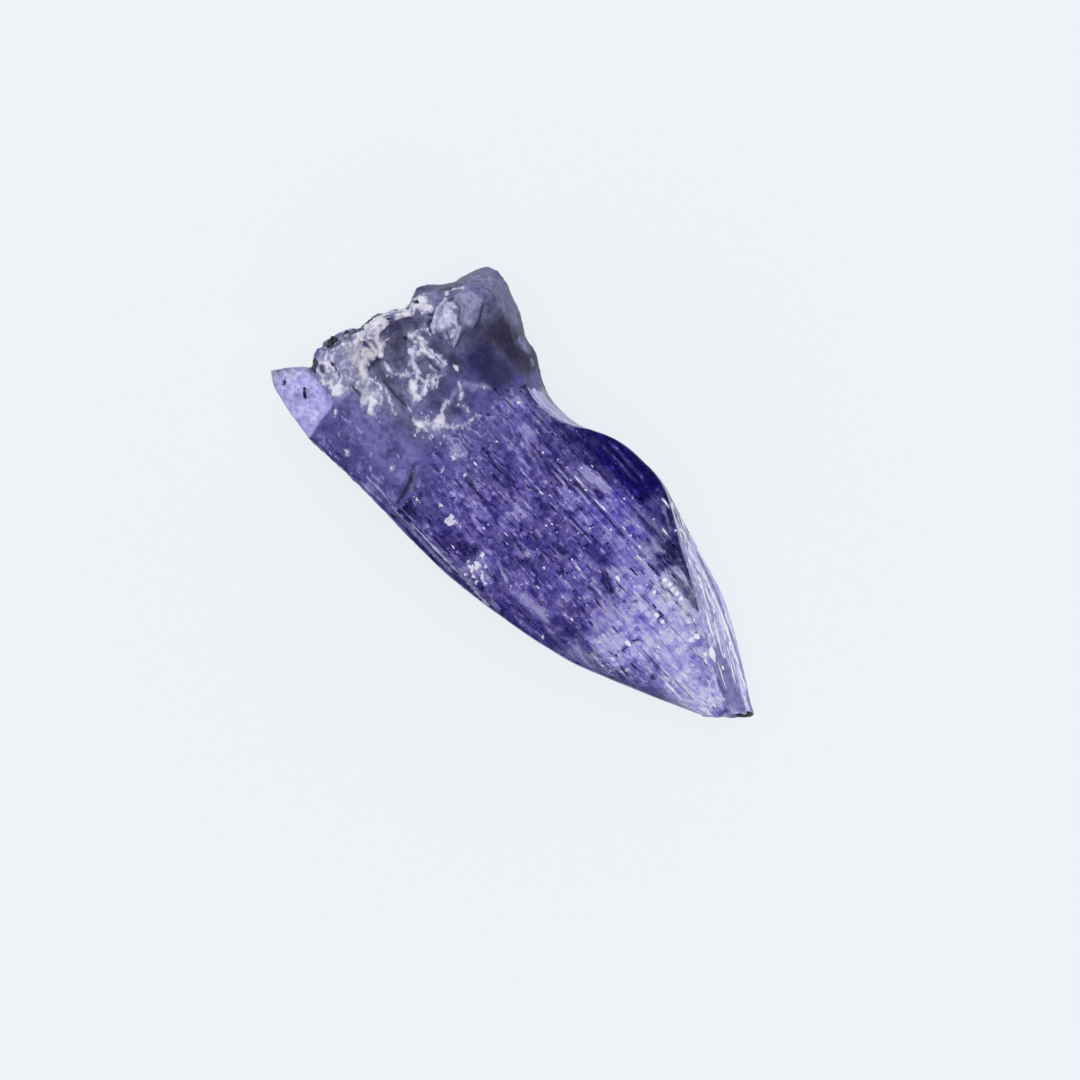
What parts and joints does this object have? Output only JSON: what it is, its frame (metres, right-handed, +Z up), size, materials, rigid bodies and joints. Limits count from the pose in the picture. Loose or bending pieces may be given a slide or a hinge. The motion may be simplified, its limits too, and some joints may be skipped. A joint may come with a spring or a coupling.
{
  "type": "rough tanzanite crystal",
  "caption": "Rough violet-blue tanzanite: a flattened striated prism, broken and crusted with calcite at one end, drawn out to a pale chipped tip at the other.",
  "frame": {"origin": "under the middle of the crystal's box, in the plane of the cleavage flat it rests on", "axes": "+X along the crystal towards its chipped tip, +Y across it towards the pale bevel, +Z up out of the broad striated face"},
  "size_m": [0.0252, 0.0108, 0.006],
  "materials": {
    "tanzanite": "see-through violet-blue crystal, striated along its length, frosted where it broke",
    "calcite_crust": "matt white to cream mineral crust",
    "graphite": "black, slightly greasy flecks"
  },
  "bodies": {
    "root": {"tanzanite_crystal": "tanzanite"}
  },
  "joints": []
}
